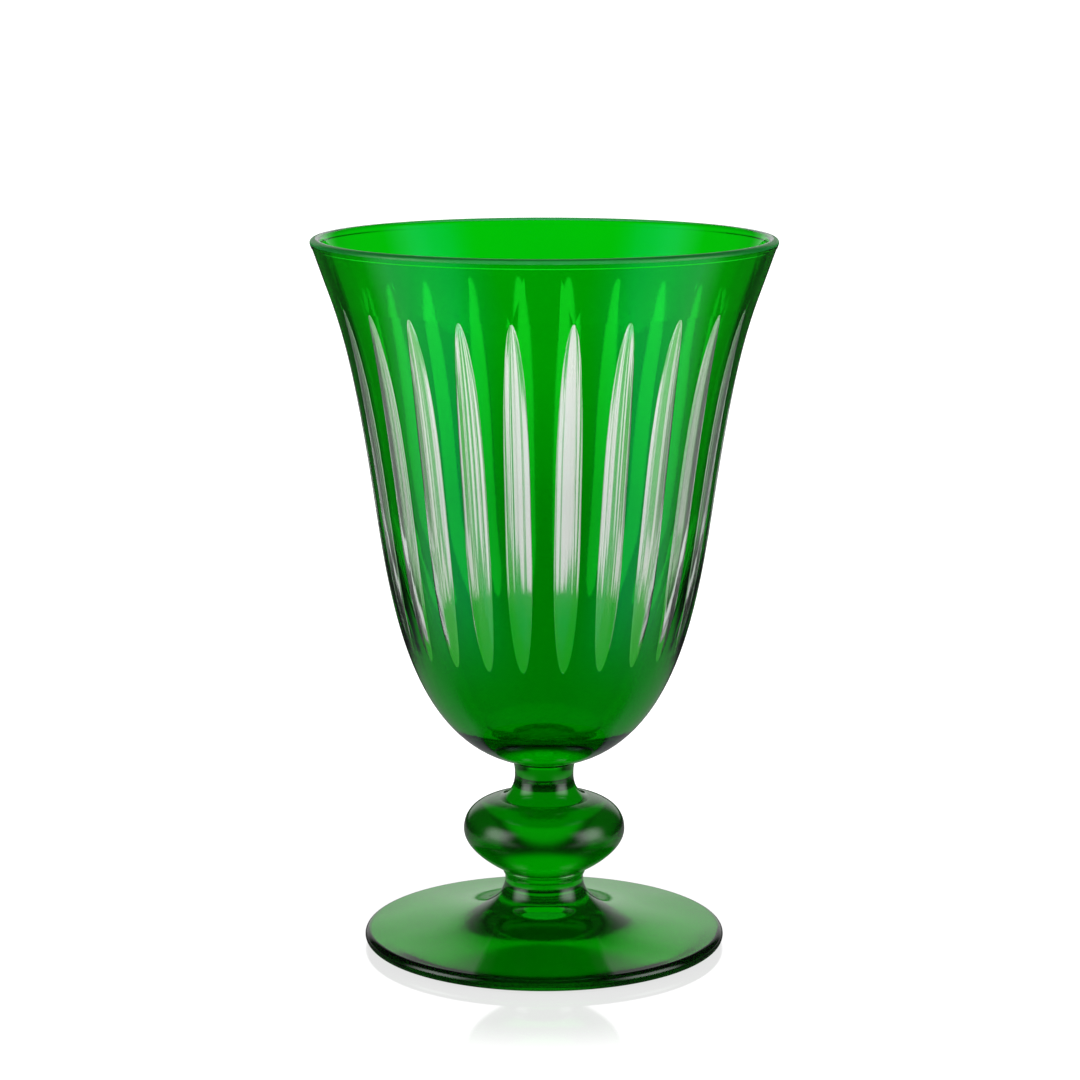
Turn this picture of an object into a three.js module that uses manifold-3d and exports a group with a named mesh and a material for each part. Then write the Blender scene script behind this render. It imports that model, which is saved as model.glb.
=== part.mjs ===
// A stemmed water glass. The bowl is clear glass under a thin green casing, and a ring of upright
// flutes is ground through the casing into the clear glass. Below it are a wafer, a waisted stem,
// a round knop, a second wafer, a flaring stem and a round foot, fused end to end.
// Millimetres, +Z up, the foot rests on Z = 0 and the glass turns about Z. The front is -Y.
import * as THREE from "three";
import { mergeVertices } from "three/addons/utils/BufferGeometryUtils.js";
import Module from "manifold-3d";

// Foot
const footRadius = 38;            // outer edge
const footEdge = 1.3;             // radius of the rounded edge
const footRestInner = 33;         // inner edge of the flat ring that the glass stands on
const footKick = 2.8;             // rise of the hollow underside at its middle
const hollowRadius = 5.4;         // where the hollow is highest
const pontilRadius = 3.5;         // boss under the middle, ground flat
const pontilRise = 1;             // its height above the table
const footSeamRadius = 14.1;      // where the foot is fused to the stem above it
const footHeight = 6.5;

// Stem, from the foot upwards
const lowerStemHeight = 7.8;
const lowerWaistRadius = 8.25;
const knopWaferHeight = 1;        // wafer between the flaring stem and the knop
const knopWaferRadius = 8.45;
const knopFootRadius = 8.6;       // the knop's lower seam
const knopRadius = 17;            // its widest turn
const knopTopRadius = 9.6;        // its upper seam
const knopLowerRise = 8.7;        // lower seam to widest turn
const knopUpperRise = 6.7;        // widest turn to upper seam
const upperStemHeight = 7;
const upperWaistRadius = 6.2;
const upperWaistRise = 5.1;       // upper seam of the knop to the narrowest turn
const bowlWaferRadius = 6.35;
const bowlWaferHeight = 1.2;      // wafer between the stem and the bowl

// Bowl, its outside first
const bowlBaseRadius = 6.8;
const bowlWaistRadius = 35.3;     // where the side stands steepest
const bowlWaistRise = 56.1;       // above the bowl's own base
const bowlHeight = 110.1;
const rimRadius = 48;
const wallThickness = 2.2;
const baseThickness = 9.1;        // solid glass under the inside of the bowl
const insideFloorRadius = 13;     // flat floor of the inside
const lipSetback = 1;             // the casing stops this far under the top of the lip

// Casing and flutes
const casingThickness = 0.35;
const bondGap = 0.05;             // between the casing and the clear glass
const fluteCount = 24;
const fluteDepth = 0.75;
const wheelRadius = 5.3;          // round edge of the grinding wheel
const fluteBottomRise = 24.4;     // lower tip above the bowl's base
const fluteTopDrop = 13;          // upper tip below the lip
const lowerRunOut = 37;           // length over which the wheel leaves the glass
const upperRunOut = 32;

const bowlSides = 48;
const stemSides = 36;
const deg = Math.PI / 180;

// Heights of the seams
const lowerStemZ = footHeight;
const knopWaferZ = lowerStemZ + lowerStemHeight;
const knopZ = knopWaferZ + knopWaferHeight;
const upperStemZ = knopZ + knopLowerRise + knopUpperRise;
const bowlWaferZ = upperStemZ + upperStemHeight;
const bowlZ = bowlWaferZ + bowlWaferHeight;
const lipZ = bowlZ + bowlHeight;

const wasm = await Module();
wasm.setup();

// A smooth curve from a to b. The angles are its directions at both ends, in degrees from the
// outward radius towards +Z, and the pulls are the lengths of its handles as shares of the span.
function sweep(a, angleA, pullA, b, angleB, pullB, steps) {
  const span = Math.hypot(b[0] - a[0], b[1] - a[1]);
  const curve = new THREE.CubicBezierCurve(
    new THREE.Vector2(...a),
    new THREE.Vector2(a[0] + pullA * span * Math.cos(angleA * deg), a[1] + pullA * span * Math.sin(angleA * deg)),
    new THREE.Vector2(b[0] - pullB * span * Math.cos(angleB * deg), b[1] - pullB * span * Math.sin(angleB * deg)),
    new THREE.Vector2(...b));
  return curve.getPoints(steps).map((p) => [p.x, p.y]);
}

// Points on an arc about (r, z), from one angle to the other.
function arc(r, z, radius, from, to, steps) {
  return Array.from({ length: steps + 1 }, (_, i) => {
    const angle = (from + (to - from) * i / steps) * deg;
    return [r + radius * Math.cos(angle), z + radius * Math.sin(angle)];
  });
}

// Moves an open outline sideways, to the left of its own direction for a positive distance.
function offset(points, distance) {
  return points.map(([r, z], i) => {
    const before = points[Math.max(i - 1, 0)];
    const after = points[Math.min(i + 1, points.length - 1)];
    const length = Math.hypot(after[0] - before[0], after[1] - before[1]);
    return [r - distance * (after[1] - before[1]) / length, z + distance * (after[0] - before[0]) / length];
  });
}

// Keeps only positions, merges shared corners and drops the flat triangles at the axis.
function welded(geometry) {
  geometry.deleteAttribute("normal");
  geometry.deleteAttribute("uv");
  const merged = mergeVertices(geometry, 1e-4);
  const kept = [];
  for (let i = 0; i < merged.index.count; i += 3) {
    const [a, b, c] = [0, 1, 2].map((j) => merged.index.getX(i + j));
    if (a !== b && b !== c && c !== a) kept.push(a, b, c);
  }
  merged.setIndex(kept);
  return merged;
}

// Turns an outline of [radius, height] points about Z. It runs up the outside.
function turned(outline, sides) {
  const lathe = new THREE.LatheGeometry(outline.map(([r, z]) => new THREE.Vector2(r, z)), sides);
  return welded(lathe.rotateX(Math.PI / 2));
}

const solid = (geometry) => new wasm.Manifold(new wasm.Mesh({
  numProp: 3,
  vertProperties: new Float32Array(geometry.attributes.position.array),
  triVerts: new Uint32Array(geometry.index.array),
}));

function geometryOf(manifold) {
  const mesh = manifold.getMesh();
  const geometry = new THREE.BufferGeometry();
  geometry.setAttribute("position", new THREE.BufferAttribute(new Float32Array(mesh.vertProperties), 3));
  geometry.setIndex(new THREE.BufferAttribute(new Uint32Array(mesh.triVerts), 1));
  return geometry;
}

// Outside of the bowl, from its base up to the lip: a full belly, a steep waist, a flared rim.
const waist = [bowlWaistRadius, bowlZ + bowlWaistRise];
const bowlOutside = [
  ...sweep([bowlBaseRadius, bowlZ], 14, 0.35, waist, 82, 0.35, 7),
  ...sweep(waist, 82, 0.68, [rimRadius, lipZ - lipSetback], 71, 0.26, 5).slice(1),
];

// Inside of the bowl, from the lip down to the axis.
const lipInner = [rimRadius - wallThickness, lipZ - lipSetback];
const innerWaist = [bowlWaistRadius - wallThickness, bowlZ + bowlWaistRise];
const bowlInside = [
  [0, bowlZ + baseThickness],
  ...sweep([insideFloorRadius, bowlZ + baseThickness], 16, 0.125, innerWaist, 82, 0.28, 8),
  ...sweep(innerWaist, 82, 0.68, lipInner, 71, 0.26, 4).slice(1),
].reverse();

// One pass of the grinding wheel: its round edge is carried up the bowl's outside, deepest along
// the middle, and lifts out of the glass at both tips. Each section is the wheel's edge, closed
// well outside the bowl.
function wheelPass() {
  const fluteBottom = bowlZ + fluteBottomRise;
  const fluteTop = lipZ - fluteTopDrop;
  const path = new THREE.SplineCurve(bowlOutside.map((p) => new THREE.Vector2(...p)));
  const stations = 10, lead = 3;
  const edge = [-46, -22, 22, 46];
  const points = [];
  for (let i = 0; i <= stations; i++) {
    const z = fluteBottom - lead + (fluteTop - fluteBottom + 2 * lead) * i / stations;
    let low = 0, high = 1;
    for (let k = 0; k < 40; k++) {
      const middle = (low + high) / 2;
      if (path.getPoint(middle).y < z) low = middle; else high = middle;
    }
    const at = path.getPoint(low), along = path.getTangent(low);
    const out = [along.y, -along.x];
    const shortfall = Math.max(0, 1 - (z - fluteBottom) / lowerRunOut, 1 - (fluteTop - z) / upperRunOut);
    const centre = wheelRadius - fluteDepth * (1 - shortfall * shortfall);
    const section = edge.map((angle) => [centre - wheelRadius * Math.cos(angle * deg), wheelRadius * Math.sin(angle * deg)]);
    section.push([centre + wheelRadius, 2 * wheelRadius], [centre + wheelRadius, -2 * wheelRadius]);
    for (const [away, across] of section) points.push(across, -(at.x + out[0] * away), at.y + out[1] * away);
  }
  const around = edge.length + 2;
  const faces = [];
  for (let i = 0; i < stations; i++) {
    for (let j = 0; j < around; j++) {
      const a = i * around + j, b = i * around + (j + 1) % around;
      faces.push(a, a + around, b, b, a + around, b + around);
    }
  }
  const last = stations * around;
  for (let j = 1; j < around - 1; j++) faces.push(0, j, j + 1, last, last + j + 1, last + j);
  const geometry = new THREE.BufferGeometry();
  geometry.setAttribute("position", new THREE.BufferAttribute(new Float32Array(points), 3));
  geometry.setIndex(faces);
  return geometry;
}

function fluted(geometry) {
  let body = solid(geometry);
  for (let i = 0; i < fluteCount; i++) {
    body = body.subtract(solid(wheelPass().rotateZ(2 * Math.PI * (i + 0.5) / fluteCount)));
  }
  return geometryOf(body);
}

const green = { color: 0x0a8a12, roughness: 0.05, metalness: 0 };
const clear = { color: 0xdfeee4, roughness: 0.04, metalness: 0 };
const glass = new THREE.Group();
glass.name = "stemmed_glass";

function piece(name, geometry, finish) {
  geometry.computeVertexNormals();
  const mesh = new THREE.Mesh(geometry, new THREE.MeshStandardMaterial(finish));
  mesh.name = name;
  glass.add(mesh);
}

// Foot: a flat ring to stand on round a hollow underside with a boss in its middle, a rounded edge,
// and a top that sweeps up to the stem.
piece("foot", turned([
  [0, pontilRise],
  ...sweep([pontilRadius, pontilRise], 55, 0.35, [hollowRadius, footKick], 0, 0.4, 3),
  ...sweep([hollowRadius, footKick], -3, 0.35, [footRestInner, 0], -4, 0.35, 4).slice(1),
  ...arc(footRadius - footEdge, footEdge, footEdge, -90, 90, 6),
  ...sweep([footRadius - footEdge, 2 * footEdge], 175, 0.45, [footSeamRadius, footHeight], 158, 0.23, 6).slice(1),
  [0, footHeight],
], stemSides), green);

// Lower stem: flares down to the foot, narrowest just under the wafer.
const lowerWaistZ = knopWaferZ - 0.7;
piece("lower_stem", turned([
  [0, lowerStemZ],
  ...sweep([footSeamRadius, lowerStemZ], 158, 0.45, [lowerWaistRadius, lowerWaistZ], 90, 0.35, 6),
  [knopWaferRadius, knopWaferZ],
  [0, knopWaferZ],
], stemSides), green);

// Wafer under the knop, a thin disc with a rounded edge.
piece("knop_wafer", turned([
  [0, knopWaferZ],
  ...sweep([knopWaferRadius, knopWaferZ], 60, 0.4, [knopFootRadius, knopZ], 120, 0.4, 4),
  [0, knopZ],
], stemSides), green);

// Knop: a flattened ball with a lower and an upper seam.
const knopGirth = [knopRadius, knopZ + knopLowerRise];
piece("knop", turned([
  [0, knopZ],
  ...sweep([knopFootRadius, knopZ], 28, 0.42, knopGirth, 90, 0.27, 6),
  ...sweep(knopGirth, 90, 0.35, [knopTopRadius, upperStemZ], 170, 0.5, 6).slice(1),
  [0, upperStemZ],
], stemSides), green);

// Upper stem: a waisted neck on the knop.
const upperWaist = [upperWaistRadius, upperStemZ + upperWaistRise];
piece("upper_stem", turned([
  [0, upperStemZ],
  ...sweep([knopTopRadius, upperStemZ], 166, 0.41, upperWaist, 90, 0.38, 5),
  [bowlWaferRadius, bowlWaferZ],
  [0, bowlWaferZ],
], stemSides), green);

// Wafer under the bowl, widening upwards.
piece("bowl_wafer", turned([
  [0, bowlWaferZ],
  ...sweep([bowlWaferRadius, bowlWaferZ], 80, 0.35, [bowlBaseRadius, bowlZ], 50, 0.35, 3),
  [0, bowlZ],
], stemSides), green);

// Clear bowl: its outside lies under the casing, and the bare lip is rounded over at the top.
const clearOutside = offset(bowlOutside, casingThickness + bondGap);
const lipTop = [rimRadius - wallThickness / 2, lipZ];
const lipShoulder = [rimRadius, lipZ - lipSetback];
piece("bowl_crystal", fluted(turned([
  [0, bowlZ],
  [bowlBaseRadius - 2 * casingThickness, bowlZ],
  ...clearOutside,
  ...sweep([lipShoulder[0] - 0.2 * lipSetback, lipShoulder[1] + 0.2 * lipSetback], 75, 0.35, lipTop, 180, 0.4, 3),
  ...sweep(lipTop, 180, 0.4, lipInner, 255, 0.35, 3).slice(1),
  ...bowlInside.slice(1),
], bowlSides)), clear);

// Casing: a thin skin of green glass over the outside, open where the flutes go through it.
piece("bowl_casing", fluted(turned([
  ...bowlOutside,
  ...offset(bowlOutside, casingThickness).reverse(),
  bowlOutside[0],
], bowlSides)), green);

export default glass;
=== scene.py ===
import math
import bpy
import numpy as np
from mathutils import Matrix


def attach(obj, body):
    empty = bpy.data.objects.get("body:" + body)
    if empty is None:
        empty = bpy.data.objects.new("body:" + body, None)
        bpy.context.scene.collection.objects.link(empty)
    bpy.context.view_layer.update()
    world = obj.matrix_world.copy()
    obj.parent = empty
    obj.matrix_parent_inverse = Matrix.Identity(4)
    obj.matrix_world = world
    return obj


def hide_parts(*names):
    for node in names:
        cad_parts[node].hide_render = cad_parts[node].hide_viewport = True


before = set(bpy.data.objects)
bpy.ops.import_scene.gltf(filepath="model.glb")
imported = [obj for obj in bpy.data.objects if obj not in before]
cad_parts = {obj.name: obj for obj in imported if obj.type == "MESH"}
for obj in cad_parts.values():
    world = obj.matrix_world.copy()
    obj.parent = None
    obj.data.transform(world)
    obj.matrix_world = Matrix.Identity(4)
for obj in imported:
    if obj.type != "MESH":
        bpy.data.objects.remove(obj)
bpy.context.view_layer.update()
scene = bpy.context.scene

# Sizes of the glass are in millimetres, z up from the table and angles measured from the front, which is -Y.
# Lengths in the studio are in metres.
mm = 0.001


# One smooth curve in the (radius, height) plane: a cubic between two points. Each end has a direction, in
# degrees from the outward radius towards +Z, and a handle as a share of the distance between the ends.
def sweep(a, leaving, b, arriving, steps):
    a, b = np.array(a, float), np.array(b, float)
    span = np.hypot(*(b - a))
    (angleA, pullA), (angleB, pullB) = leaving, arriving
    dirA = np.array([math.cos(math.radians(angleA)), math.sin(math.radians(angleA))])
    dirB = np.array([math.cos(math.radians(angleB)), math.sin(math.radians(angleB))])
    t = np.linspace(0, 1, steps + 1)[:, None]
    c, d = a + pullA * span * dirA, b - pullB * span * dirB
    return (1 - t) ** 3 * a + 3 * (1 - t) ** 2 * t * c + 3 * (1 - t) * t ** 2 * d + t ** 3 * b


# Points on a circle in the same plane: the centre plus the radius times cosine and sine of even angles.
def arc(centre, radius, start, end, steps):
    t = np.radians(np.linspace(start, end, steps + 1))
    return np.stack([centre[0] + radius * np.cos(t), centre[1] + radius * np.sin(t)], 1)


# Straight run: even shares of the way from one point to the other.
def run(a, b, steps=1):
    t = np.linspace(0, 1, steps + 1)[:, None]
    return np.array(a, float) * (1 - t) + np.array(b, float) * t


# Quads of a grid of rows by columns whose last column meets the first, facing outwards when the rows
# climb and the columns go round anticlockwise seen from above.
def ringQuads(rows, columns):
    i, j = np.meshgrid(np.arange(rows - 1), np.arange(columns), indexing="ij")
    k = (j + 1) % columns
    return np.stack([i * columns + j, i * columns + k, (i + 1) * columns + k, (i + 1) * columns + j], -1)


# Outline points turned about Z: radius times sine and minus cosine of each angle, at the outline's height.
def turned(outline, turn):
    r, z = outline[:, :1], np.repeat(outline[:, 1:], len(turn), 1)
    return np.stack([r * np.sin(turn), -r * np.cos(turn), z], -1)


# Two fans that close a stack of rings: the first ring to the point low, the last ring to the point high.
def endFans(columns, last, low, high):
    j = np.arange(columns)
    k = (j + 1) % columns
    return np.vstack([np.stack([k, j, np.full(columns, low)], 1),
                      np.stack([last + j, last + k, np.full(columns, high)], 1)])


# Puts points, in millimetres, and faces with their material numbers into a new smooth mesh object.
def putMesh(name, points, quads, quadLook, tris, triLook, looks, crease=20):
    mesh = bpy.data.meshes.new(name)
    quads = np.asarray(quads, np.int32).reshape(-1, 4)
    tris = np.asarray(tris, np.int32).reshape(-1, 3)
    mesh.vertices.add(len(points))
    mesh.vertices.foreach_set("co", (np.asarray(points) * mm).astype(np.float32).ravel())
    corners = np.concatenate([quads.ravel(), tris.ravel()])
    mesh.loops.add(len(corners))
    mesh.loops.foreach_set("vertex_index", corners)
    mesh.polygons.add(len(quads) + len(tris))
    starts = np.concatenate([np.arange(len(quads)) * 4, len(quads) * 4 + np.arange(len(tris)) * 3])
    mesh.polygons.foreach_set("loop_start", starts.astype(np.int32))
    for look in looks:
        mesh.materials.append(look)
    mesh.polygons.foreach_set("material_index", np.concatenate([quadLook, triLook]).astype(np.int32))
    mesh.update(calc_edges=True)
    mesh.validate()
    mesh.polygons.foreach_set("use_smooth", np.ones(len(mesh.polygons), bool))
    mesh.set_sharp_from_angle(angle=math.radians(crease))
    thing = bpy.data.objects.new(name, mesh)
    scene.collection.objects.link(thing)
    return thing


# Turns an outline about Z. It starts and ends on the axis and climbs the outside; each stretch of it
# has its own look.
def turnedPiece(name, stretches, looks, sides=160):
    outline, lookOf = [stretches[0][0][:1]], []
    for points, look in stretches:
        outline.append(points[1:])
        lookOf += [look] * (len(points) - 1)
    outline = np.vstack(outline)
    rings, lookOf = outline[1:-1], np.array(lookOf)
    points = turned(rings, np.arange(sides) * 2 * math.pi / sides).reshape(-1, 3)
    points = np.vstack([points, [0, 0, outline[0, 1]], [0, 0, outline[-1, 1]]])
    tris = endFans(sides, (len(rings) - 1) * sides, len(points) - 2, len(points) - 1)
    return putMesh(name, points, ringQuads(len(rings), sides), np.repeat(lookOf[1:-1], sides), tris,
                   np.repeat([lookOf[0], lookOf[-1]], sides), looks)


# Sums of sockets and numbers, one node each.
def sums(tree):
    def one(operation, *values):
        node = tree.nodes.new("ShaderNodeMath")
        node.operation = operation
        for i, v in enumerate(values):
            if isinstance(v, (int, float)):
                node.inputs[i].default_value = v
            else:
                tree.links.new(v, node.inputs[i])
        return node.outputs[0]
    return one


# Smooth step of a socket between two levels: lowOut up to low, highOut from high on.
def ease(tree, value, low, high, lowOut, highOut):
    node = tree.nodes.new("ShaderNodeMapRange")
    node.interpolation_type = "SMOOTHSTEP"
    for name, v in (("From Min", low), ("From Max", high), ("To Min", lowOut), ("To Max", highOut)):
        node.inputs[name].default_value = v
    tree.links.new(value, node.inputs["Value"])
    return node.outputs["Result"]


# New nodes of the given kinds, in that order.
def newNodes(tree, *kinds):
    return [tree.nodes.new(f"ShaderNode{kind}") for kind in kinds]


# Slow unevenness of worked glass: a noise in the object's own coordinates, as a small height.
def waveNormal(tree, wave):
    coords, noise, bump = newNodes(tree, "TexCoord", "TexNoise", "Bump")
    noise.inputs["Scale"].default_value = wave["scale"]
    noise.inputs["Detail"].default_value = 1
    bump.inputs["Distance"].default_value = wave["height"] * mm
    tree.links.new(coords.outputs["Object"], noise.inputs["Vector"])
    tree.links.new(noise.outputs["Fac"], bump.inputs["Height"])
    return bump.outputs["Normal"]


# Colour of the skin: the tint times a little unevenness, and times the factor thin above the height high.
def skinTone(tree, tint, thin, tone):
    coords, parts, cloud, scaled = newNodes(tree, "TexCoord", "SeparateXYZ", "TexNoise", "VectorMath")
    tree.links.new(coords.outputs["Object"], parts.inputs[0])
    tree.links.new(coords.outputs["Object"], cloud.inputs["Vector"])
    cloud.inputs["Scale"].default_value = tone["scale"]
    height = ease(tree, parts.outputs["Z"], tone["low"] * mm, tone["high"] * mm, 1.0, thin)
    uneven = ease(tree, cloud.outputs["Fac"], *tone["cloud"], 1 - tone["uneven"], 1 + tone["uneven"])
    scaled.operation = "SCALE"
    scaled.inputs[0].default_value = tint
    tree.links.new(sums(tree)("MULTIPLY", height, uneven), scaled.inputs["Scale"])
    return scaled.outputs[0]


# Sets roughness and refractive index on each of the nodes that has them.
def polish(rough, *shaders):
    for shader in shaders:
        for name, v in (("Roughness", rough), ("IOR", glassIor)):
            if name in shader.inputs:
                shader.inputs[name].default_value = v


# Mixes two shaders: the second one's share is a socket or a number.
def blend(tree, share, first, second):
    mix = tree.nodes.new("ShaderNodeMixShader")
    if isinstance(share, (int, float)):
        mix.inputs[0].default_value = share
    else:
        tree.links.new(share, mix.inputs[0])
    tree.links.new(first.outputs[0], mix.inputs[1])
    tree.links.new(second.outputs[0], mix.inputs[2])
    return mix


# A new material, its tree and its first shader, set up as glass.
def newGlass(name, rough, shine):
    mat = bpy.data.materials.new(name)
    mat.use_nodes = True
    shader = mat.node_tree.nodes["Principled BSDF"]
    polish(rough, shader)
    shader.inputs["Transmission Weight"].default_value = 1
    shader.inputs["Specular Tint"].default_value = (*shine, 1)
    return mat, mat.node_tree, shader


# Glass with its colour in a thin skin. Light takes the tint once where it crosses the skin, and more
# where it is mirrored back into the glass from inside, because it then crosses the skin twice at a slant.
# The first shader takes the square of its tint, as it applies the root of a colour at each crossing.
def skinLook(name, skin):
    mat, tree, outside = newGlass(name, skin["rough"], skin["shine"])
    tone = skin["tone"]
    leaving, mirrored, edge, sides = newNodes(tree, "BsdfRefraction", "BsdfGlossy", "Fresnel", "NewGeometry")
    polish(skin["rough"], leaving, mirrored)
    edge.inputs["IOR"].default_value = glassIor
    # Near the lip the light mirrored back inside is raised above what the skin lets through: painted light along the
    # lip.
    for socket, tint, thin, ends in (
            (outside.inputs["Base Color"], [t * t for t in skin["tint"]], tone["thin"] ** 2, {}),
            (leaving.inputs["Color"], skin["leave"], tone["thinLeave"], {}),
            (mirrored.inputs["Color"], skin["bounce"], tone["lipPaintedLight"], tone["lipEnds"])):
        tree.links.new(skinTone(tree, tint, thin, {**tone, **ends}), socket)
    for node in (outside, leaving, mirrored, edge):
        tree.links.new(waveNormal(tree, skin["wave"]), node.inputs["Normal"])
    inside = blend(tree, edge.outputs[0], leaving, mirrored)
    full = blend(tree, sides.outputs["Backfacing"], outside, inside)
    tree.links.new(full.outputs[0], tree.nodes["Material Output"].inputs["Surface"])
    return mat


# Glass without a skin, with a share of scattered light where fine lines are left by the polishing wheel.
# The share grows with height from least to most, as the cut gets fuller.
def glassLook(name, glass):
    mat, tree, shader = newGlass(name, glass["rough"], glass["shine"])
    shader.inputs["Base Color"].default_value = (*glass["tint"], 1)
    if "scatter" in glass:
        scatter = glass["scatter"]
        matt, coords, parts = newNodes(tree, "BsdfDiffuse", "TexCoord", "SeparateXYZ")
        matt.inputs["Color"].default_value = (*glass["tint"], 1)
        tree.links.new(coords.outputs["Object"], parts.inputs[0])
        share = ease(tree, parts.outputs["Z"], scatter["low"] * mm, scatter["high"] * mm,
                     scatter["least"], scatter["most"])
        full = blend(tree, share, shader, matt)
        tree.links.new(full.outputs[0], tree.nodes["Material Output"].inputs["Surface"])
    return mat


# Seam between pieces that are fused: light goes straight through, unbent and untinted.
def jointLook(name):
    mat = bpy.data.materials.new(name)
    mat.use_nodes = True
    tree = mat.node_tree
    tree.nodes.remove(tree.nodes["Principled BSDF"])
    clear = tree.nodes.new("ShaderNodeBsdfTransparent")
    tree.links.new(clear.outputs["BSDF"], tree.nodes["Material Output"].inputs["Surface"])
    return mat


# Green skins. tint and leave are what one crossing lets through on the way in and out, bounce what is
# mirrored back inside, shine the colour of the outer reflection.
glassIor = 1.5
stemSkin = {
    "tint": (0.004, 0.56, 0.010), "leave": (0.0004, 0.51, 0.0012), "bounce": (0.0, 0.78, 0.0),
    "shine": (0.9, 1.0, 0.92), "rough": 0.0, "wave": {"scale": 55, "height": 0.25},
    "tone": {"scale": 60, "cloud": (0.3, 0.7), "uneven": 0.04, "low": 0, "high": 40, "thin": 1.0,
             "thinLeave": 1.0, "lipPaintedLight": 1.0, "lipEnds": {"low": 125, "high": 142}},
}
casingSkin = {
    **stemSkin, "bounce": (0.0, 0.26, 0.0), "shine": (0.0, 1.0, 0.85), "wave": {"scale": 45, "height": 0.12},
    # Its mirrored light is raised near the lip, as painted light.
    "tone": {**stemSkin["tone"], "scale": 30, "uneven": 0.03, "low": 95, "high": 145, "thin": 1.2,
             "lipPaintedLight": 3.3},
}
greenGlass = skinLook("greenGlass", stemSkin)
footGlass = skinLook("footGlass", {**stemSkin, "rough": 0.085, "wave": {"scale": 38, "height": 0.5}})
# The foot's rounded edge: the same green, letting less through and mirroring less inside, as painted shade on the
# edge.
edgeShadeGlass = skinLook("edgeShadeGlass", {**stemSkin, "tint": (0.003, 0.38, 0.008), "bounce": (0.0, 0.12, 0.0)})
knopGlass = skinLook("knopGlass", {**stemSkin, "rough": 0.15})
# The upper stem: the same green as the other stem pieces, with less light mirrored back inside, so it looks darker.
lowBounceGlass = skinLook("lowBounceGlass", {**stemSkin, "bounce": (0.0, 0.32, 0.0)})
casingGlass = skinLook("casingGlass", casingSkin)

# Glass without a skin: the inside of the bowl, the flutes, the lip and the ground boss under the foot.
white = (1, 1, 1)
clearGlass = glassLook("clearGlass", {"tint": (0.97, 1.0, 0.98), "rough": 0.07, "shine": casingSkin["shine"]})
fluteGlass = glassLook("fluteGlass", {
    "tint": (0.96, 1.0, 0.97), "rough": 0.12, "shine": white,
    "scatter": {"low": 74, "high": 92, "least": 0.015, "most": 0.1}})
lipGlass = glassLook("lipGlass", {
    "tint": (0.01, 0.45, 0.06), "rough": 0.3, "shine": stemSkin["shine"],
    "scatter": {"low": 147, "high": 149, "least": 0.35, "most": 0.35}})
pontilGlass = glassLook("pontilGlass", {"tint": (0.97, 1.0, 0.98), "rough": 0.7, "shine": white})
fusedSeam = jointLook("fusedSeam")
print("looks made")

# Foot and stem, from the table up. The seams between them are fused. Pairs are an end of a curve: its
# direction in degrees and its handle. The number after each stretch is its look in the list at the end.
foot = {
    "radius": 38, "edge": 1.3, "restInner": 33, "kick": 2.8, "hollow": 5.4, "pontil": 3.5, "pontilZ": 1.0,
    "seam": 14.1, "height": 6.5, "bossEnds": ((55, 0.35), (0, 0.4)), "hollowEnds": ((-3, 0.35), (-4, 0.35)),
    "topEnds": ((175, 0.45), (158, 0.23)),
}
bossRim, hollowTop = (foot["pontil"], foot["pontilZ"]), (foot["hollow"], foot["kick"])
edgeMid = (foot["radius"] - foot["edge"], foot["edge"])
edgeTop, footSeam = (edgeMid[0], 2 * foot["edge"]), (foot["seam"], foot["height"])
footPiece = turnedPiece("footGlass", [
    (run((0, foot["pontilZ"]), bossRim, 6), 3),
    (sweep(bossRim, foot["bossEnds"][0], hollowTop, foot["bossEnds"][1], 10), 0),
    (sweep(hollowTop, foot["hollowEnds"][0], (foot["restInner"], 0), foot["hollowEnds"][1], 16), 0),
    (run((foot["restInner"], 0), (edgeMid[0], 0), 4), 0),
    # the rounded edge, in the darker glass that paints shade on it
    (arc(edgeMid, foot["edge"], -90, 90, 24), 2),
    (sweep(edgeTop, foot["topEnds"][0], footSeam, foot["topEnds"][1], 60), 0),
    (run(footSeam, (0, foot["height"])), 1),
], [footGlass, fusedSeam, edgeShadeGlass, pontilGlass])


# A stem piece: a flat seam, one or two curves up the outside, and a flat seam. Its points are (radius,
# height) and its ends the pairs of each curve.
def stemPiece(name, points, ends, steps, look):
    curves = [(sweep(a, leaving, b, arriving, count), 0)
              for a, b, (leaving, arriving), count in zip(points, points[1:], ends, steps)]
    (lowR, lowZ), (highR, highZ) = points[0], points[-1]
    return turnedPiece(name, [(run((0, lowZ), (lowR, lowZ)), 1), *curves, (run((highR, highZ), (0, highZ)), 1)],
                       [look, fusedSeam])


lower = {"seam": 14.1, "z": 6.5, "height": 7.8, "waist": 8.25, "waistDrop": 0.7, "top": 8.45,
         "ends": (((158, 0.45), (90, 0.35)), ((90, 0.4), (62, 0.4)))}
lowerTop = lower["z"] + lower["height"]
lowerPiece = stemPiece("lowerStemGlass", [
    (lower["seam"], lower["z"]), (lower["waist"], lowerTop - lower["waistDrop"]), (lower["top"], lowerTop),
], lower["ends"], (40, 6), greenGlass)

wafer = {"z": 14.3, "height": 1.0, "low": 8.45, "high": 8.6, "ends": (((60, 0.4), (120, 0.4)),)}
waferPiece = stemPiece("knopWaferGlass", [
    (wafer["low"], wafer["z"]), (wafer["high"], wafer["z"] + wafer["height"]),
], wafer["ends"], (14,), greenGlass)

knop = {"z": 15.3, "low": 8.6, "girth": 17.0, "top": 9.6, "lowerRise": 8.7, "upperRise": 6.7,
        "ends": (((28, 0.42), (90, 0.27)), ((90, 0.35), (170, 0.5)))}
knopMid = knop["z"] + knop["lowerRise"]
knopPiece = stemPiece("knopGlass", [
    (knop["low"], knop["z"]), (knop["girth"], knopMid), (knop["top"], knopMid + knop["upperRise"]),
], knop["ends"], (48, 48), knopGlass)

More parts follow.
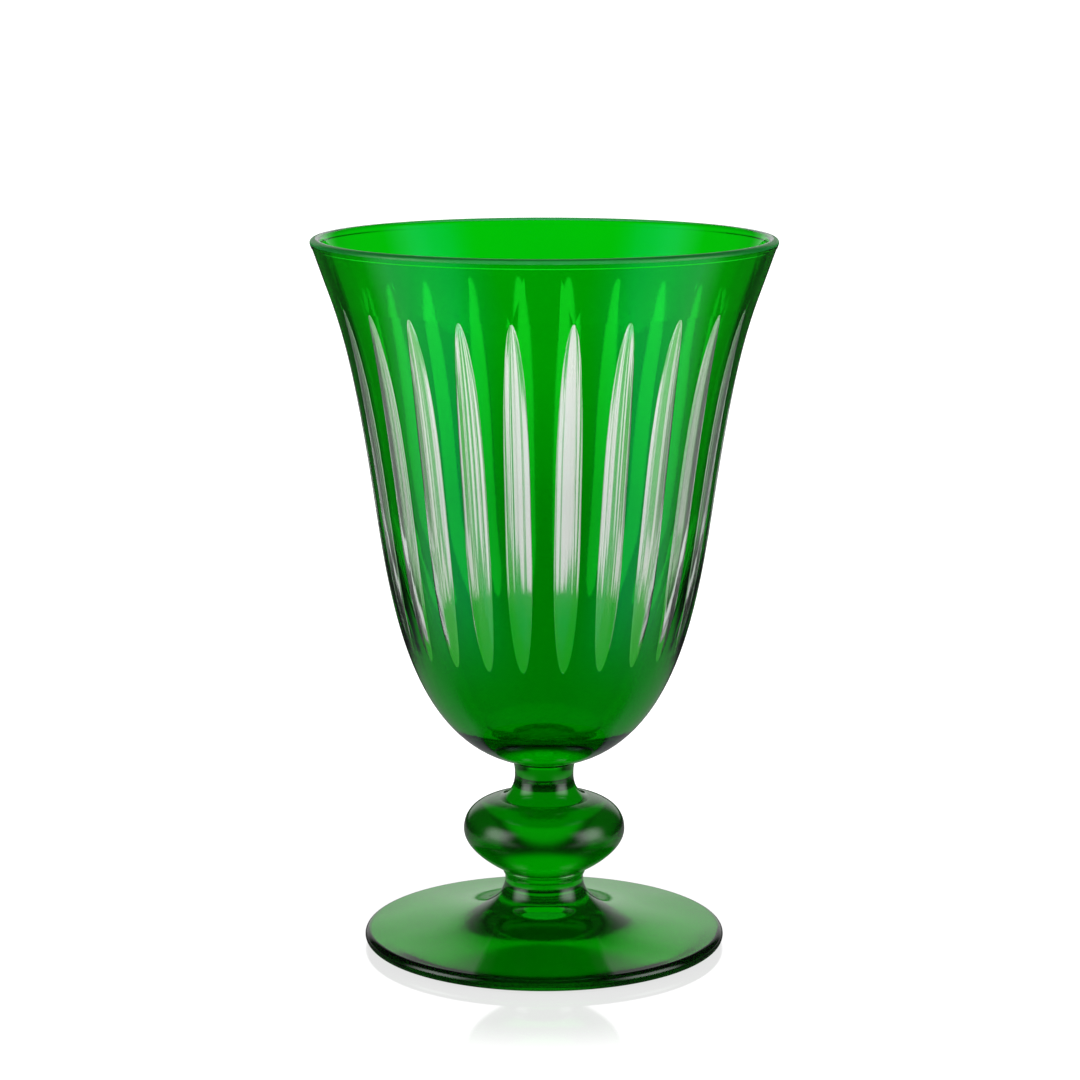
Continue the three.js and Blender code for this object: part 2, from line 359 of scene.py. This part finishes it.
upper = {"z": 30.7, "height": 7.0, "low": 9.6, "waist": 6.2, "waistRise": 5.1, "top": 6.35,
         "ends": (((166, 0.41), (90, 0.38)), ((90, 0.4), (80, 0.4)))}
upperPiece = stemPiece("upperStemGlass", [
    (upper["low"], upper["z"]), (upper["waist"], upper["z"] + upper["waistRise"]),
    (upper["top"], upper["z"] + upper["height"]),
], upper["ends"], (40, 10), lowBounceGlass)

collar = {"z": 37.7, "height": 1.2, "low": 6.35, "high": 6.8, "ends": (((80, 0.35), (50, 0.35)),)}
collarPiece = stemPiece("bowlWaferGlass", [
    (collar["low"], collar["z"]), (collar["high"], collar["z"] + collar["height"]),
], collar["ends"], (12,), greenGlass)
print("foot and stem made")

# Bowl. Its outside is one curve from the base to the lip; the flutes are a second surface below it.
bowl = {
    "base": 6.8, "z": 38.9, "waist": 35.3, "waistZ": 95.0, "rim": 48.0, "lipZ": 149.0, "bead": 1.0,
    "wall": 2.2, "baseThick": 9.1, "floor": 13.0, "skin": 0.02, "bond": 0.004,
    "shoulder": 0.12, "shoulderEnd": 138.0, "shoulderLow": 146.95, "shoulderHigh": 147.2,
    "lowEnds": ((14, 0.35), (82, 0.35)), "highEnds": ((82, 0.68), (71, 0.26)),
    "insideEnds": ((16, 0.125), (82, 0.28)),
    "lipOut": ((72, 0.35), (180, 0.5)), "lipIn": ((180, 0.5), (252, 0.35)), "lipTuck": (0.01, 0.04),
    "lipSteps": (8, 5), "insideSteps": (2, 20, 8),
}
# Shares in floor and land are columns from the middle of a flute to its edge, and from there to the next flute.
flute = {
    "count": 24, "depth": 0.27, "halfWidth": 2.6, "flat": 0.5, "round": 0.07, "step": 0.07, "stepShare": 0.06,
    "bottom": 63.8, "top": 136.0, "lowRun": 25.0, "highRun": 31.0, "bevel": 0.04, "lines": 0.014, "seed": 7,
    "drift": {23: -0.95}, "tipHalf": 0.03, "spread": 0.3, "spreadMost": 0.06,
    "floor": (0, 0.12, 0.24, 0.34, 0.41, 0.45, 0.48, 0.52, 0.55, 0.59, 0.66, 0.76, 0.86, 0.93, 0.95, 1),
    "land": (0, 0.02, 0.5, 0.98, 1),
}
# Rows of the bowl: how many lie in each stretch, and how much they crowd towards the flutes' tips.
rowsOf = {"below": 20, "beyond": 5, "beyondReach": 2, "beyondCrowd": 2.5, "run": 14, "runCrowd": 1.8,
          "full": 8, "fullEnds": (82, 118), "above": 7}

waist, rimLow = (bowl["waist"], bowl["waistZ"]), (bowl["rim"], bowl["lipZ"] - bowl["bead"])
outsideFine = np.vstack([
    sweep((bowl["base"], bowl["z"]), bowl["lowEnds"][0], waist, bowl["lowEnds"][1], 900),
    sweep(waist, bowl["highEnds"][0], rimLow, bowl["highEnds"][1], 600)[1:]])


# Half the flute's width at each height: an ellipse's end at each tip, full between the run-outs.
def fluteHalf(z):
    part = np.minimum((z - flute["bottom"]) / flute["lowRun"], (flute["top"] - z) / flute["highRun"])
    return flute["halfWidth"] * np.sqrt(1 - (1 - np.clip(part, 0, 1)) ** 2)


# Heights from low to high: low plus the span times even shares raised to a power, so that they crowd at low.
def between(low, high, count, power=1.0):
    return low + (high - low) * np.linspace(0, 1, count) ** power


tipLow, tipHigh, reach = flute["bottom"], flute["top"], rowsOf["beyondReach"]
fullLow, fullHigh = rowsOf["fullEnds"]
belowFlutes = outsideFine[outsideFine[:, 1] < tipLow - reach][:, 1]
rowZ = np.unique(np.round(np.concatenate([
    belowFlutes[np.linspace(0, len(belowFlutes) - 1, rowsOf["below"]).astype(int)],
    between(tipLow, tipLow - reach, rowsOf["beyond"], rowsOf["beyondCrowd"]),
    between(tipLow, fullLow, rowsOf["run"], rowsOf["runCrowd"]),
    between(fullLow, fullHigh, rowsOf["full"]),
    between(tipHigh, fullHigh, rowsOf["run"], rowsOf["runCrowd"]),
    between(tipHigh, tipHigh + reach, rowsOf["beyond"], rowsOf["beyondCrowd"]),
    between(tipHigh + reach, bowl["shoulderLow"], rowsOf["above"]),
    [bowl["shoulderHigh"], rimLow[1]]]), 6))
rows = len(rowZ)
rowR = np.interp(rowZ, outsideFine[:, 1], outsideFine[:, 0])
slope = np.gradient(outsideFine, axis=0)
slope /= np.hypot(slope[:, 0], slope[:, 1])[:, None]
rowOut = np.stack([np.interp(rowZ, outsideFine[:, 1], slope[:, 1]),
                   -np.interp(rowZ, outsideFine[:, 1], slope[:, 0])], 1)
# The lip is a bead: just under it the wall steps in, and the step fades out further down.
rowStep = np.interp(rowZ, [bowl["shoulderEnd"], bowl["shoulderLow"], bowl["shoulderHigh"]], [0, 1, 0])
rowStep = bowl["shoulder"] * np.where(rowZ < bowl["shoulderLow"], rowStep ** 2 * (3 - 2 * rowStep), rowStep)
beyond = np.maximum(0, np.maximum(tipLow - rowZ, rowZ - tipHigh))
cutThrough = beyond < 1e-5
fullness = fluteHalf(rowZ) / flute["halfWidth"]
spread = flute["tipHalf"] + np.minimum(flute["spread"] * beyond, flute["spreadMost"] * rowR)
halfWide = np.maximum(fluteHalf(rowZ), spread)

# Columns of one sector: the flute's floor from edge to edge, a narrow bevel through the skin, then the land.
nFloor, nLand = 2 * len(flute["floor"]) - 2, len(flute["land"]) - 1
share = np.concatenate([-np.array(flute["floor"])[:0:-1], flute["floor"]])
floorTurn = halfWide[:, None] * share / rowR[:, None]
edgeTurn = ((halfWide + flute["bevel"]) / rowR)[:, None, None]
middles = (np.arange(flute["count"]) + 0.5) * (2 * math.pi / flute["count"])
for number, degrees in flute["drift"].items():          # cut a little off its place by hand
    middles[number] += math.radians(degrees)
toNext = np.diff(middles, append=middles[0] + 2 * math.pi)
landTurn = edgeTurn + (toNext[None, :, None] - 2 * edgeTurn) * np.array(flute["land"])
turnOne = np.concatenate([np.repeat(floorTurn[:, None, :], flute["count"], 1), landTurn], 2)
perSector = turnOne.shape[2]
columns = perSector * flute["count"]
turn = (turnOne + middles[None, :, None]).reshape(rows, columns)

# Depth below the outside: a flat floor that turns, over a small round, into two sloping sides, plus fine
# polishing lines that run along the flute.
lines = np.random.default_rng(flute["seed"]).normal(0, flute["lines"], (flute["count"], nFloor + 1))
lines[:, [0, -1]] = 0
past, turnIn = np.abs(share) - flute["flat"], flute["round"]
side = np.where(past > turnIn, past, np.where(past < -turnIn, 0, (past + turnIn) ** 2 / (4 * turnIn)))
edgeStep = flute["step"] * np.clip((1 - np.abs(share)) / flute["stepShare"], 0, 1)
hollow = flute["depth"] * (1 - side / (1 - flute["flat"])) + edgeStep
full = fullness[:, None, None]
floorDepth = bowl["skin"] + full ** 2 * hollow + full * np.abs(lines)[None]
groove = np.concatenate([floorDepth, np.zeros((rows, flute["count"], nLand + 1))], 2).reshape(rows, columns)
column = np.tile(np.arange(perSector), flute["count"])
onFloor, isFloor = column <= nFloor, column < nFloor      # points, and quads between a column and the next


# A point of the bowl: the outside at its row, moved in along the surface's own normal.
def bowlPoints(depth):
    depth = depth + rowStep[:, None]
    r = rowR[:, None] - depth * rowOut[:, :1]
    return np.stack([r * np.sin(turn), -r * np.cos(turn), rowZ[:, None] - depth * rowOut[:, 1:]], -1)


inWindow = cutThrough[:, None] & onFloor[None, :]
windowQuad = (cutThrough[:-1] & cutThrough[1:])[:, None] & isFloor[None, :]
skinDepth = np.full_like(groove, bowl["skin"])

# Casing: the outside and a sheet one skin below it. They share their points along the windows' edges.
edgePoint = np.zeros((rows, columns), bool)
edgePoint[cutThrough] = ((column == 0) | (column == nFloor))[None, :]
edgePoint[np.flatnonzero(cutThrough)[[0, -1]]] |= onFloor[None, :]
index = np.arange(rows * columns).reshape(rows, columns)
under = index + rows * columns
under[edgePoint] = index[edgePoint]
casingPoints = np.concatenate([bowlPoints(np.where(inWindow, bowl["skin"], 0.0)).reshape(-1, 3),
                               bowlPoints(skinDepth).reshape(-1, 3)])
grid = ringQuads(rows, columns)
outerQuads = index.ravel()[grid][~windowQuad]
innerQuads = under.ravel()[grid][~windowQuad][:, ::-1]
j = np.arange(columns)
k = (j + 1) % columns
lipQuads = np.stack([index[-1, j], index[-1, k], under[-1, k], under[-1, j]], 1)
baseQuads = np.stack([under[0, j], under[0, k], index[0, k], index[0, j]], 1)
casingQuads = np.concatenate([outerQuads, innerQuads, lipQuads, baseQuads])
casingLook = np.repeat([0, 1, 0, 1], [len(outerQuads), len(innerQuads), columns, columns])
used, packed = np.unique(casingQuads, return_inverse=True)
casingPiece = putMesh("casingGlass", casingPoints[used], packed.reshape(-1, 4), casingLook, [], [],
                      [casingGlass, fusedSeam])

# Clear bowl: under the skin, down into the flutes, over the lip and down the inside.
outerClear = bowlPoints(np.where(inWindow, groove, bowl["skin"]) + bowl["bond"])
wall, tuck = bowl["wall"], bowl["lipTuck"]
lipStart = (rowR[-1] - bowl["skin"] - tuck[0], rowZ[-1] + tuck[1])
lipTop, lipInner = (bowl["rim"] - wall / 2, bowl["lipZ"]), (bowl["rim"] - wall, rimLow[1])
floorZ, waistIn = bowl["z"] + bowl["baseThick"], (bowl["waist"] - wall, bowl["waistZ"])
floorRun, lowSteps, highSteps = bowl["insideSteps"]
lipCurve = np.vstack([
    sweep(lipStart, bowl["lipOut"][0], lipTop, bowl["lipOut"][1], bowl["lipSteps"][0]),
    sweep(lipTop, bowl["lipIn"][0], lipInner, bowl["lipIn"][1], bowl["lipSteps"][1])[1:]])
insideCurve = np.vstack([
    run((0, floorZ), (bowl["floor"], floorZ), floorRun),
    sweep((bowl["floor"], floorZ), bowl["insideEnds"][0], waistIn, bowl["insideEnds"][1], lowSteps)[1:],
    sweep(waistIn, bowl["highEnds"][0], lipInner, bowl["highEnds"][1], highSteps)[1:]])[::-1]
downIn = np.vstack([lipCurve, insideCurve[1:-1]])
footing = bowlPoints(skinDepth)[:1].copy()
footing[..., 2] = bowl["z"]
clearPoints = np.vstack([footing.reshape(-1, 3), outerClear.reshape(-1, 3), turned(downIn, turn[-1]).reshape(-1, 3),
                         [[0, 0, bowl["z"]], [0, 0, floorZ]]])
clearRows = 1 + rows + len(downIn)
clearLook = np.zeros((clearRows - 1, columns), int)
clearLook[:rows] = 2
clearLook[rows:rows + 1 + bowl["lipSteps"][0]] = 3      # the colour ends on top of the lip
clearLook[1:rows][windowQuad] = 1
clearTris = endFans(columns, (clearRows - 1) * columns, len(clearPoints) - 2, len(clearPoints) - 1)
crystalPiece = putMesh("crystalGlass", clearPoints, ringQuads(clearRows, columns), clearLook.ravel(), clearTris,
                       np.repeat([2, 0], columns), [clearGlass, fluteGlass, fusedSeam, lipGlass])
print("bowl made", len(casingPiece.data.polygons), len(crystalPiece.data.polygons))

standsFor = {footPiece: "foot", lowerPiece: "lower_stem", waferPiece: "knop_wafer", knopPiece: "knop",
             upperPiece: "upper_stem", collarPiece: "bowl_wafer", crystalPiece: "bowl_crystal",
             casingPiece: "bowl_casing"}
for piece, node in standsFor.items():
    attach(piece, "root")
    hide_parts(node)

# The studio: a white backdrop behind and in front, with dark flags beside it and paler walls at the sides.
# through is what is seen through the glass, reflected what its skin mirrors, light what falls on the table.
studio = {"through": 1.08, "flag": 0.16, "throughSide": 0.40, "reflected": 0.75, "reflectedFront": 0.02,
          "light": 0.45, "backdropEnds": (0.88, 0.97), "flagEnds": (0.55, 0.75), "reflectedEnds": (0.79, 0.97)}

# The table as the camera sees it, as it is seen through the glass, and as the glass mirrors it. Ends that
# say reach are distances from the middle, the others how far a place lies behind (1) or in front (-1).
table = {
    "size": 30.0, "drop": 0.0004, "grey": 0.85, "tiny": 0.0001,
    "white": 1.55, "shade": 0.18, "mirror": 0.42, "mirrorRough": 0.05, "mirrorReach": (0.052, 0.095),
    # Painted shade on the table as seen through the glass, near the glass and in front of the foot.
    "flagReach": (0.15, 0.4), "nearShade": 0.62, "nearReach": (0.05, 1.3), "under": 1.0, "underReach": (0.03, 0.06),
    "underFrontShade": 0.42, "frontEnds": (-0.9, -0.65), "frontReach": (0.05, 0.07),
    # Painted light and shade on the table as the glass mirrors it.
    "reflected": 0.02, "soften": 0.02, "reflectedSide": 0.95, "sideEnds": (-0.85, -0.55), "sideReach": (0.06, 0.2),
    "reflectedBehind": 0.22, "behindEnds": (-0.1, 0.2), "behindReach": (0.036, 0.05), "behindFade": (0.12, 0.22),
}


# Brightness seen through the glass by how straight ahead or behind a direction lies: the brighter of the
# side wall, which falls to the flag, and the backdrop, which rises from it.
def flagged(tree, ahead):
    side = ease(tree, ahead, *studio["flagEnds"], studio["throughSide"], studio["flag"])
    return sums(tree)("MAXIMUM", side, ease(tree, ahead, *studio["backdropEnds"], studio["flag"], studio["through"]))


# White table. To the camera it is a bright white with a share of matt, which takes the shadow, and a share
# of mirror near the foot, which also greys the table round the foot: partly reflection, partly painted shade.
# Through the glass it is the flagged backdrop with painted shade near the glass and in front of the foot,
# lifted again right under the foot. Mirrored by the glass it is near black, with painted light in front
# to the sides and a little behind. Other light meets the matt alone.
def tableLook():
    mat = bpy.data.materials.new("whiteTable")
    mat.use_nodes = True
    tree = mat.node_tree
    tree.nodes.remove(tree.nodes["Principled BSDF"])
    maths = sums(tree)
    path, coords, parts, length = newNodes(tree, "LightPath", "TexCoord", "SeparateXYZ", "VectorMath")
    length.operation = "LENGTH"
    tree.links.new(coords.outputs["Object"], parts.inputs[0])
    tree.links.new(coords.outputs["Object"], length.inputs[0])
    away, depth = length.outputs["Value"], parts.outputs["Y"]

    bright, seen, dim = newNodes(tree, "Emission", "Emission", "Emission")
    matt, mirror = newNodes(tree, "BsdfDiffuse", "BsdfGlossy")
    bright.inputs["Strength"].default_value = table["white"]
    matt.inputs["Color"].default_value = (*[table["grey"]] * 3, 1)
    mirror.inputs["Roughness"].default_value = table["mirrorRough"]

    farther = maths("ADD", away, table["tiny"])
    close = ease(tree, away, *table["flagReach"], 1, 0)
    beside = flagged(tree, maths("DIVIDE", maths("ABSOLUTE", depth), farther))
    across = maths("ADD", maths("MULTIPLY", close, studio["through"]),
                   maths("MULTIPLY", maths("SUBTRACT", 1, close), beside))
    # Painted shade: dimmer near the glass, full again right under the foot, and darker in front of it.
    near = maths("MAXIMUM", ease(tree, away, *table["nearReach"], table["nearShade"], 1.0),
                 ease(tree, away, *table["underReach"], table["under"], 0.0))
    inFront = ease(tree, maths("DIVIDE", depth, farther), *table["frontEnds"], table["underFrontShade"], 1.0)
    shaded = maths("MAXIMUM", inFront, ease(tree, away, *table["frontReach"], 0.0, 1.0))
    tree.links.new(maths("MULTIPLY", across, maths("MULTIPLY", near, shaded)), seen.inputs["Strength"])

    # Painted light for the glass to mirror: bright to the sides in front away from the foot, a little behind it,
    # near black elsewhere.
    facing = maths("DIVIDE", depth, maths("ADD", away, table["soften"]))
    sideways = maths("MULTIPLY", ease(tree, facing, *table["sideEnds"], 0, 1),
                     ease(tree, facing, *table["behindEnds"], 1, 0))
    far = ease(tree, away, *table["sideReach"], table["reflected"], table["reflectedSide"])
    behind = maths("MULTIPLY", ease(tree, facing, *table["behindEnds"], 0, table["reflectedBehind"]),
                   ease(tree, away, *table["behindReach"], 0, 1))
    behind = maths("MULTIPLY", behind, ease(tree, away, *table["behindFade"], 1, 0))
    mirrored = maths("ADD", maths("MULTIPLY", sideways, far), behind)
    tree.links.new(maths("ADD", mirrored, table["reflected"]), dim.inputs["Strength"])

    # A real mirror near the foot that also greys the table there, partly as painted shade.
    mirrorShare = ease(tree, away, *table["mirrorReach"], table["mirror"], 0)
    glazed = blend(tree, mirrorShare, blend(tree, table["shade"], bright, matt), mirror)
    glossy = blend(tree, path.outputs["Is Glossy Ray"], matt, dim)
    clear = blend(tree, path.outputs["Is Transmission Ray"], glossy, seen)
    full = blend(tree, path.outputs["Is Camera Ray"], clear, glazed)
    tree.links.new(full.outputs[0], tree.nodes["Material Output"].inputs["Surface"])
    return mat


half = table["size"] / 2
corners = [(-half, -half), (half, -half), (half, half), (-half, half)]
tableMesh = bpy.data.meshes.new("table")
tableMesh.from_pydata([(x, y, -table["drop"]) for x, y in corners], [], [(0, 1, 2, 3)])
tableMesh.materials.append(tableLook())
tablePiece = bpy.data.objects.new("table", tableMesh)
scene.collection.objects.link(tablePiece)

# The room: its brightness depends on whether light comes by a mirroring, through the glass, straight to
# the camera or none of these.
world = bpy.data.worlds.new("room")
scene.world = world
world.use_nodes = True
tree = world.node_tree
backdrop = tree.nodes["Background"]
backdrop.inputs["Color"].default_value = (1, 1, 1, 1)
path, coords, parts = newNodes(tree, "LightPath", "TexCoord", "SeparateXYZ")
tree.links.new(coords.outputs["Generated"], parts.inputs[0])
through = flagged(tree, sums(tree)("ABSOLUTE", parts.outputs["Y"]))
reflected = ease(tree, parts.outputs["Y"], *studio["reflectedEnds"], studio["reflectedFront"], studio["reflected"])
strength = None
for output, level in (("Is Glossy Ray", reflected), ("Is Transmission Ray", through), ("Is Camera Ray", 1.0)):
    mix = tree.nodes.new("ShaderNodeMix")
    tree.links.new(path.outputs[output], mix.inputs["Factor"])
    if isinstance(level, float):
        mix.inputs["B"].default_value = level
    else:
        tree.links.new(level, mix.inputs["B"])
    if strength is None:
        mix.inputs["A"].default_value = studio["light"]
    else:
        tree.links.new(strength, mix.inputs["A"])
    strength = mix.outputs["Result"]
tree.links.new(strength, backdrop.inputs["Strength"])
print("table and room made")

# Two wide soft boxes, left and right of the camera, that fade out towards their edges.
lamps = {"turn": 70, "tilt": 17, "distance": 0.65, "height": 0.22, "width": 0.75, "tall": 0.75, "watts": 6.5,
         "fade": 0.42}
for side in (-1, 1):
    light = bpy.data.lights.new(f"softBox{side}", "AREA")
    light.shape = "RECTANGLE"
    light.size, light.size_y = lamps["width"], lamps["tall"]
    light.energy = lamps["watts"]
    box = bpy.data.objects.new(f"softBox{side}", light)
    a = math.radians(lamps["turn"])
    box.location = (side * lamps["distance"] * math.sin(a), -lamps["distance"] * math.cos(a), lamps["height"])
    box.rotation_euler = (math.radians(90 - lamps["tilt"]), 0, side * a)
    box.visible_camera = box.visible_transmission = False
    light.use_nodes = True
    tree = light.node_tree
    maths = sums(tree)
    spot, parts = newNodes(tree, "NewGeometry", "SeparateXYZ")
    tree.links.new(spot.outputs["Parametric"], parts.inputs[0])
    fades = [ease(tree, maths("ABSOLUTE", maths("SUBTRACT", parts.outputs[axis], 0.5)),
                  0.5 - lamps["fade"], 0.5, 1, 0) for axis in "XY"]
    tree.links.new(maths("MULTIPLY", *fades), tree.nodes["Emission"].inputs["Strength"])
    scene.collection.objects.link(box)

# Camera where the photograph was taken from.
view = {"place": (-0.00088, -0.6671, 0.20957), "down": 10.506, "lens": 108.57, "sensor": 36}
cam = bpy.data.cameras.new("camera")
cam.lens, cam.sensor_width = view["lens"], view["sensor"]
eye = bpy.data.objects.new("camera", cam)
eye.location = view["place"]
eye.rotation_euler = (math.radians(90 - view["down"]), 0, 0)
scene.collection.objects.link(eye)
scene.camera = eye
scene.view_settings.view_transform = "Standard"
scene.cycles.max_bounces = 32
scene.cycles.transmission_bounces = 24
scene.cycles.glossy_bounces = 12
scene.cycles.transparent_max_bounces = 48
print("lamps and camera made")
